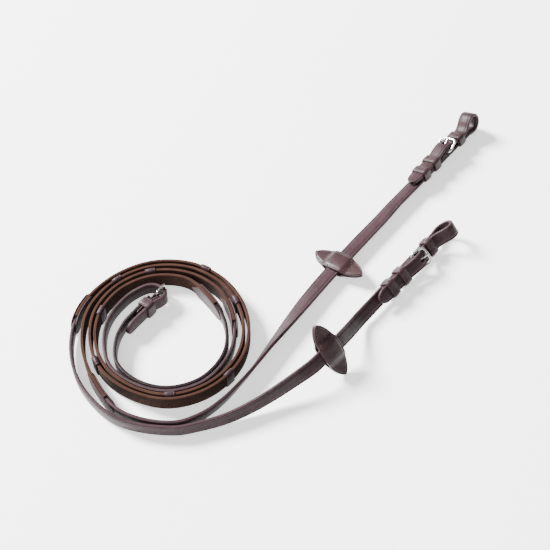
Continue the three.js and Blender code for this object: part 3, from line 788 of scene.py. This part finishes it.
def finger_stops(rein):
    seams = []
    for i, angle in enumerate(rein.data["finger_stops"]):
        distance = rein.at_angle(angle)
        point, along, across, through = (v[0] for v in rein.line.at(distance))
        half, thick = WEB_WIDTH / 2 + FINGER_STOP_SIDE, WEB_THICK / 2 + FINGER_STOP_FACE
        basis = (point, along, across, through)
        verts, faces, _ = band(
            basis, half, -thick, thick, FINGER_STOP_LENGTH, FINGER_STOP_THICK, FINGER_STOP_ROUND,
            FINGER_STOP_CROWN,
        )
        name = f"{rein.name}_finger_stop_{i + 1}"
        make_object(f"{name}_band", verts, faces, FACING_LEATHER, "root", [name])
        seam_half = WEB_WIDTH / 2 - FINGER_STOP_SEAM_END
        rows = np.linspace(-seam_half, seam_half, 8)
        for sign in (-1, 1):
            height = thick + FINGER_STOP_THICK + FINGER_STOP_CROWN
            line = point + rows[:, None] * across + through * (sign * height)
            seams.append((line, np.tile(through * sign, (len(rows), 1))))
    add_stitches(f"{rein.name}_finger_stop_stitches", seams, "root")


def stop_outline(y):
    share = np.clip(np.abs(y) / (STOP_LENGTH / 2), 0, 1)
    return np.maximum((STOP_WIDTH / 2) * (1 - share ** 2) ** STOP_POINTEDNESS, 0)


def smooth_step(value, low, high):
    t = np.clip((value - low) / (high - low), 0, 1)
    return t * t * (3 - 2 * t)


def stop_underside(y):
    closed = smooth_step(np.abs(y), STOP_SHOULDER_START, STOP_SHOULDER_END)
    return STOP_CHANNEL + (LEAF_GAP - STOP_CHANNEL) * closed


def stop_top(x, y):
    half = np.maximum(stop_outline(y), 1e-5)
    out = np.clip(np.abs(x) / half, 0, 1)
    dome = (1 - smooth_step(np.abs(y), STOP_DOME_START, STOP_SHOULDER_END)) * (1 - out ** 2.4)
    lobe = STOP_LOBE_CROWN * (1 - out ** 2)
    return stop_underside(y) + STOP_THICK + STOP_CROWN * dome + lobe


def stop_leaf(basis):
    """An oval leaf with rolled edges, pressed lines inside its rim and a dome over the strap."""
    origin, x_way, y_way, z_way = basis
    y_values = (STOP_LENGTH / 2 - 0.0002) * np.sin(np.linspace(-math.pi / 2, math.pi / 2, 97))
    edge = STOP_EDGE
    verts, strap = [], []
    for y in y_values:
        half = max(float(stop_outline(y)), STOP_TIP_HALF)
        low = float(stop_underside(y))
        inner = half - edge
        rim = min(1, inner / STOP_RIM)
        groove = inner - STOP_GROOVE_INSET * rim
        columns = [inner, groove + STOP_GROOVE_HALF * rim, groove, groove - STOP_GROOVE_HALF * rim]
        columns += [groove * share for share in (0.75, 0.5, 0.25, 0)]
        ring = []
        for column in columns + [-c for c in reversed(columns[:-1])]:
            pressed = STOP_GROOVE_DEPTH * rim if abs(column) == groove else 0
            ring.append((column, float(stop_top(column, y)) - pressed))
        rim_top = ring[-1][1]
        right = [
            (half - edge + edge * math.sin(a), low + edge - edge * math.cos(a)) for a in (0, 0.8, 1.57)
        ]
        left = [(-x, z) for x, z in reversed(right)]
        upper_right = [
            (half - edge + edge * math.sin(a), rim_top - edge + edge * math.cos(a)) for a in (1.57, 0.8)
        ]
        upper_left = [(-x, z) for x, z in reversed(upper_right)]
        bottom = [(-inner * s, low) for s in (0.6, 0)] + [(inner * 0.6, low)]
        full = right + upper_right + ring + upper_left + left + bottom
        for x, z in full:
            verts.append(origin + x_way * x + y_way * y + z_way * z)
            strap.append((x, y, z))
    size = len(full)
    faces = [tuple(reversed(f)) for f in ring_faces(len(y_values), size)]
    return np.array(verts), faces, np.array(strap)


def stop_seams(basis):
    """A seam around each lobe, closed by a V beside the strap."""
    origin, x_way, y_way, z_way = basis
    seams = []
    inset = STOP_SEAM_INSET
    for end in (-1, 1):
        tip = STOP_LENGTH / 2 - inset
        ys = np.linspace(STOP_LOBE_START, tip, 40)
        xs = np.maximum(stop_outline(ys + 0.0002) - inset, 0)
        y = np.concatenate([ys, ys[::-1]]) * end
        x = np.concatenate([xs, -xs[::-1]])
        v_x = np.linspace(xs[0], -xs[0], 21)
        v_y = (STOP_LOBE_START + (STOP_LOBE_APEX - STOP_LOBE_START) * (1 - np.abs(v_x) / xs[0])) * end
        for sx, sy in ((x, y), (v_x, v_y)):
            z = stop_top(sx, sy)
            line = origin + sx[:, None] * x_way + sy[:, None] * y_way + z[:, None] * z_way
            seams.append((line, np.tile(z_way, (len(line), 1))))
    return seams


def martingale_stop(rein):
    distance = rein.line.length - STACK_START - rein.data["martingale_stop"]
    point, along, across, through = (v[0] for v in rein.line.at(distance))
    body = f"{rein.name}_martingale_stop"
    seams = []
    for face, sign in (("inner", -1), ("outer", 1)):
        basis = (point, along * sign, across, through * sign)
        verts, faces, strap = stop_leaf(basis)
        node_name = f"{body}_{face}"
        make_object(
            f"{node_name}_leaf", verts, faces, STOP_LEATHER, body, [node_name], strap,
        )
        seams += stop_seams(basis)
    add_stitches(f"{body}_stitches", seams, body)


# ---- Buckles ----
def tube(points, radii, sides=16, looped=False, flat=1.0, up=(0, 0, 1)):
    """A round or flattened rod along points, given in a buckle's own frame."""
    points = np.asarray(points, float)
    if looped:
        along = unit(np.roll(points, -1, 0) - np.roll(points, 1, 0))
    else:
        along = unit(np.gradient(points, axis=0))
    up = np.asarray(up, float)
    side = unit(np.cross(along, up))
    lift = np.cross(side, along)
    angles = 2 * math.pi * np.arange(sides) / sides
    radii = np.broadcast_to(radii, len(points))
    ring = side[:, None] * np.cos(angles)[:, None] + lift[:, None] * (flat * np.sin(angles))[:, None]
    verts = points[:, None] + ring * radii[:, None, None]
    faces = [tuple(reversed(f)) for f in ring_faces(len(points), sides, looped)]
    return verts.reshape(-1, 3), faces


def in_buckle(buckle, verts):
    verts = np.asarray(verts)
    return buckle.point(verts[:, 0], verts[:, 1], verts[:, 2])


def merged(*parts):
    verts, faces = [], []
    for part_verts, part_faces in parts:
        base = len(verts)
        verts += [tuple(v) for v in part_verts]
        faces += [tuple(base + k for k in f) for f in part_faces]
    return np.array(verts), faces


def frame_plane(front):
    """Ways along and out of a buckle frame, which slopes from its back bar to its front bar."""
    tilt = math.atan2(front - BACK_BAR_HEIGHT, BUCKLE_LENGTH)
    return math.hypot(BUCKLE_LENGTH, front - BACK_BAR_HEIGHT), tilt


def frame_path(front):
    length, tilt = frame_plane(front)
    half, r = BUCKLE_HALF_WIDTH, BUCKLE_ROUND
    path = []
    corners = (
        (length - r, -half + r, -90), (length - r, half - r, 0), (r, half - r, 90), (r, -half + r, 180),
    )
    for cx, cy, begin in corners:
        for k in range(9):
            a = math.radians(begin + 90 * k / 8)
            path.append((cx + r * math.cos(a), cy + r * math.sin(a)))
    dense, _ = subdivided(np.array(path), np.ones((len(path), 2)), 0.001)
    bow = np.clip((dense[:, 0] - length * 0.5) / (length * 0.5), 0, 1) * (1 - (dense[:, 1] / half) ** 2)
    x = dense[:, 0] + 0.0005 * bow
    z = 0.0007 * bow
    c, s = math.cos(tilt), math.sin(tilt)
    return np.stack([-BUCKLE_LENGTH + x * c - z * s, dense[:, 1], BACK_BAR_HEIGHT + x * s + z * c], 1)


def buckle_frame(buckle, prefix, shape):
    path = frame_path(shape["front"])
    _, tilt = frame_plane(shape["front"])
    up = (-math.sin(tilt), 0, math.cos(tilt))
    share = (path[:, 0] + BUCKLE_LENGTH) / BUCKLE_LENGTH
    radii = WIRE_RADIUS * (1.0 + 0.18 * np.clip(share, 0, 1))
    verts, faces = tube(path, radii, looped=True, flat=0.82, up=up)
    name = f"{prefix}_buckle_frame"
    make_object(f"{name}_wire", in_buckle(buckle, verts), faces, STEEL, f"{prefix}_frame", [name])


def buckle_tongue(buckle, prefix, shape):
    """An eye wound around the back bar, and a rod that thins to a turned-down tip on the front bar."""
    length, tilt = frame_plane(shape["front"])
    lift = tilt + math.atan2(WIRE_RADIUS + TONGUE_RADIUS, length)
    axis = np.array([-BUCKLE_LENGTH, 0, BACK_BAR_HEIGHT])
    angles = np.radians(np.linspace(40, 340, 22))
    radius = WIRE_RADIUS + 0.00065
    eye = [axis + radius * np.array([math.cos(a - 0.6), 0, math.sin(a - 0.6)]) for a in angles]
    eye_verts, eye_faces = tube(eye, EYE_THICK, sides=10, flat=1.9, up=(0, 1, 0))
    reach = length + 0.0016
    shares = np.linspace(0.06, 1, 18)
    rod = []
    for share in shares:
        x = share * reach
        rise = 0.0004 * math.sin(share * math.pi) - 0.0006 * smooth_step(share, 0.86, 1.0)
        c, s = math.cos(lift), math.sin(lift)
        rod.append(axis + np.array([x * c - rise * s, 0, x * s + rise * c]))
    sizes = TONGUE_RADIUS * (1.05 - 0.3 * shares) * np.sqrt(np.clip((1.02 - shares) / 0.06, 0.2, 1))
    rod_verts, rod_faces = tube(rod, sizes, sides=14, flat=0.85, up=(-math.sin(lift), 0, math.cos(lift)))
    verts, faces = merged((eye_verts, eye_faces), (rod_verts, rod_faces))
    name = f"{prefix}_buckle_tongue"
    make_object(f"{name}_pin", in_buckle(buckle, verts), faces, STEEL, f"{prefix}_tongue", [name])


def cut(piece, buckle, hole):
    """Cuts a slot with round ends out of a piece. The slot's own X is its length and Z its depth."""
    length, width, depth = hole["size"]
    matrix = slot_matrix(buckle, *hole["at"], hole["tilt"])
    outline, _ = rounded_rectangle(length / 2, -width / 2, width / 2, min(length, width) * 0.499)
    top = [(x, y, depth / 2) for x, y in outline]
    bottom = [(x, y, -depth / 2) for x, y in outline]
    cutter_mesh = bpy.data.meshes.new("cutter")
    verts = [Vector(matrix @ np.array([*p, 1.0]))[:3] for p in bottom + top]
    cutter_mesh.from_pydata(verts, [], ring_faces(2, len(outline)))
    cutter = bpy.data.objects.new("cutter", cutter_mesh)
    bpy.context.scene.collection.objects.link(cutter)
    modifier = piece.modifiers.new("slot", "BOOLEAN")
    modifier.operation, modifier.object, modifier.solver = "DIFFERENCE", cutter, "EXACT"
    applied = bpy.data.meshes.new_from_object(piece.evaluated_get(bpy.context.evaluated_depsgraph_get()))
    piece.modifiers.clear()
    piece.data = applied
    bpy.data.objects.remove(cutter)


def slot_matrix(buckle, x, z, tilt):
    a = math.radians(-tilt)
    turn = np.eye(4)
    turn[0, 0], turn[0, 2], turn[2, 0], turn[2, 2] = math.cos(a), math.sin(a), -math.sin(a), math.cos(a)
    turn[:3, 3] = (x, 0, z)
    return buckle.matrix() @ turn


def chape(buckle, prefix, shape):
    """A tab sewn to the strap, folded around the back bar and skived to nothing on top of itself."""
    t = CHAPE_THICK
    middle = CHAPE_BOTTOM + t / 2
    radius = WIRE_RADIUS + 0.0003 + t / 2
    path = [(x, middle) for x in spread(shape["chape_end"], -BUCKLE_LENGTH - 0.0045, 0.0015)]
    for a in np.radians(np.linspace(-92, 128, 22)):
        path.append((-BUCKLE_LENGTH + radius * math.cos(a), BACK_BAR_HEIGHT + radius * math.sin(a)))
    path += [(-BUCKLE_LENGTH - x, z) for x, z in ((0.0042, 0.0046), (0.0075, 0.0041), (0.011, 0.0039))]
    line = buckle.line(path)
    distances = spread(0, line.length, 0.0007)
    section = leather_section(CHAPE_WIDTH, t, bevel=THIN_BEVEL, depth=0.0001)
    sections = ends_tapered(section, distances, line.length, 0.005, start=True)
    from_end = np.minimum(distances / 0.006, (line.length - distances) / 0.007)
    sections[..., 1] *= (0.35 + 0.65 * np.clip(from_end, 0, 1))[:, None]
    verts, faces, strap = swept(line.at(distances), sections)
    name = f"{prefix}_chape"
    piece = make_object(f"{name}_tab", verts, faces, KEEPER_LEATHER, "root", [name], strap)
    cut(piece, buckle, CHAPE_HOLE)


def keeper(buckle, name, node_name, at, top, body):
    low = -LEATHER_THICK / 2 - KEEPER_PLAY
    high = top + LEATHER_THICK / 2 + KEEPER_PLAY
    basis = (buckle.point(at, 0, 0), buckle.x, buckle.y, buckle.z)
    half = LEATHER_WIDTH / 2 + KEEPER_SIDE
    verts, faces, _ = band(
        basis, half, low, high, KEEPER_LENGTH, KEEPER_THICK, KEEPER_ROUND, KEEPER_CROWN,
    )
    make_object(name, verts, faces, KEEPER_LEATHER, body, [node_name])


def back_seams(buckle, shape):
    """The seams that hold a chape, where they come out on the strap's back."""
    xs = spread(shape["seam_end"], CHAPE_SEAM_START, 0.001)
    seams = []
    for side in (-1, 1):
        across = np.full(len(xs), side * CHAPE_SEAM_SIDE)
        line = buckle.point(xs, across, np.full(len(xs), -LEATHER_THICK / 2))
        seams.append((line, np.tile(-buckle.z, (len(xs), 1))))
    return seams


def bit_end(rein):
    name = f"{rein.name}_bit"
    buckle = rein.bit
    start = rein.at_angle(rein.data["web_end"]) + GAP
    route = rein.line.at(spread(start, rein.line.length - STRAP_STEP, STRAP_STEP))
    straight = buckle.line([(STACK_START, 0), (STACK_START / 2, 0), (LOOP_START, 0)])
    loop = buckle.line([(LOOP_START, 0), *BIT_LOOP])
    loop_at = spread(0, loop.length, LOOP_STEP)
    straight_at = spread(0, straight.length, STRAP_STEP)[:-1]
    stations = joined(route, straight.at(straight_at), loop.at(loop_at))
    steps = np.linalg.norm(np.diff(stations[0], axis=0), axis=1)
    distances = np.concatenate([[0], np.cumsum(steps)])
    section = leather_section(LEATHER_WIDTH, LEATHER_THICK)
    sections = ends_tapered(section, distances, distances[-1], BILLET_POINT)
    verts, faces, strap = swept(stations, sections)
    piece = make_object(
        f"{name}_strap_leather", verts, faces, STRAP_LEATHER, "root", [f"{name}_strap"],
        strap,
    )
    cut(piece, buckle, BIT_HOLE)
    chape(buckle, name, BIT_BUCKLE)
    buckle_frame(buckle, name, BIT_BUCKLE)
    buckle_tongue(buckle, name, BIT_BUCKLE)
    for kind, at, top in BIT_KEEPERS:
        body = "root" if kind == "fixed_keeper" else f"{rein.name}_{kind}"
        keeper(buckle, f"{rein.name}_{kind}_loop", f"{rein.name}_{kind}", at, top, body)
    add_stitches(f"{name}_chape_stitches", back_seams(buckle, BIT_BUCKLE), "root")


# ---- Centre buckle ----
def centre_straps(left, right, centre):
    section = leather_section(LEATHER_WIDTH, LEATHER_THICK)
    distances = spread(0, left.at_angle(LEFT["web_start"]) - GAP, STRAP_STEP)
    verts, faces, strap = swept(left.line.at(distances), section)
    make_object(
        "left_centre_leather", verts, faces, STRAP_LEATHER, "root", ["left_centre_strap"],
        strap,
    )
    distances = spread(0, right.at_angle(RIGHT["web_start"]) - GAP, HAIRPIN_STEP)
    sections = ends_tapered(section, distances, distances[-1], BILLET_POINT, start=True)
    verts, faces, strap = swept(right.line.at(distances), sections)
    piece = make_object(
        "right_centre_leather", verts, faces, STRAP_LEATHER, "root", ["right_centre_strap"],
        strap,
    )
    cut(piece, centre, CENTRE_HOLE)


def centre_buckle(centre):
    chape(centre, "centre", CENTRE_BUCKLE)
    buckle_frame(centre, "centre", CENTRE_BUCKLE)
    buckle_tongue(centre, "centre", CENTRE_BUCKLE)
    kind, at, top = CENTRE_KEEPER
    keeper(centre, "centre_keeper_loop", "centre_keeper", at, top, "root")
    add_stitches("centre_chape_stitches", back_seams(centre, CENTRE_BUCKLE), "root")


# ---- Studio ----
def area_light(name, location, target, size, power):
    light = bpy.data.lights.new(name, "AREA")
    light.shape, light.size, light.energy = "DISK", size, power
    lamp = bpy.data.objects.new(name, light)
    bpy.context.scene.collection.objects.link(lamp)
    lamp.location = location
    lamp.rotation_euler = (Vector(location) - Vector(target)).to_track_quat("Z", "Y").to_euler()


def studio():
    mesh = bpy.data.meshes.new("floor")
    reach = 40.0
    corners = [(-reach, -reach, 0), (reach, -reach, 0), (reach, reach, 0), (-reach, reach, 0)]
    mesh.from_pydata(corners, [], [(0, 1, 2, 3)])
    floor = bpy.data.objects.new("floor", mesh)
    bpy.context.scene.collection.objects.link(floor)
    material, _, _ = new_material(
        "floor", (0.9, 0.9, 0.9), 0.9,
        Specular_IOR_Level=0.0, Emission_Color=(1, 1, 1, 1), Emission_Strength=1.0,
    )
    mesh.materials.append(material)
    world = bpy.data.worlds.new("studio")
    bpy.context.scene.world = world
    world.use_nodes = True
    background = world.node_tree.nodes["Background"]
    background.inputs["Color"].default_value = (1.0, 1.0, 1.0, 1)
    background.inputs["Strength"].default_value = 0.45
    area_light("key", (-1.1, 3.1, 2.35), (-0.03, 0, 0), 1.35, 1200)
    area_light("fill", (-1.2, -0.9, 1.4), (0, 0, 0), 1.2, 16)


make_camera()
centre = Buckle(CENTRE, 1)
left = Rein(LEFT, CENTRE_STRAP, centre)
right = Rein(RIGHT, CENTRE_HAIRPIN, centre)
centre_straps(left, right, centre)
centre_buckle(centre)
for rein in (left, right):
    web_grip(rein)
    splices(rein)
    finger_stops(rein)
    martingale_stop(rein)
    bit_end(rein)
studio()
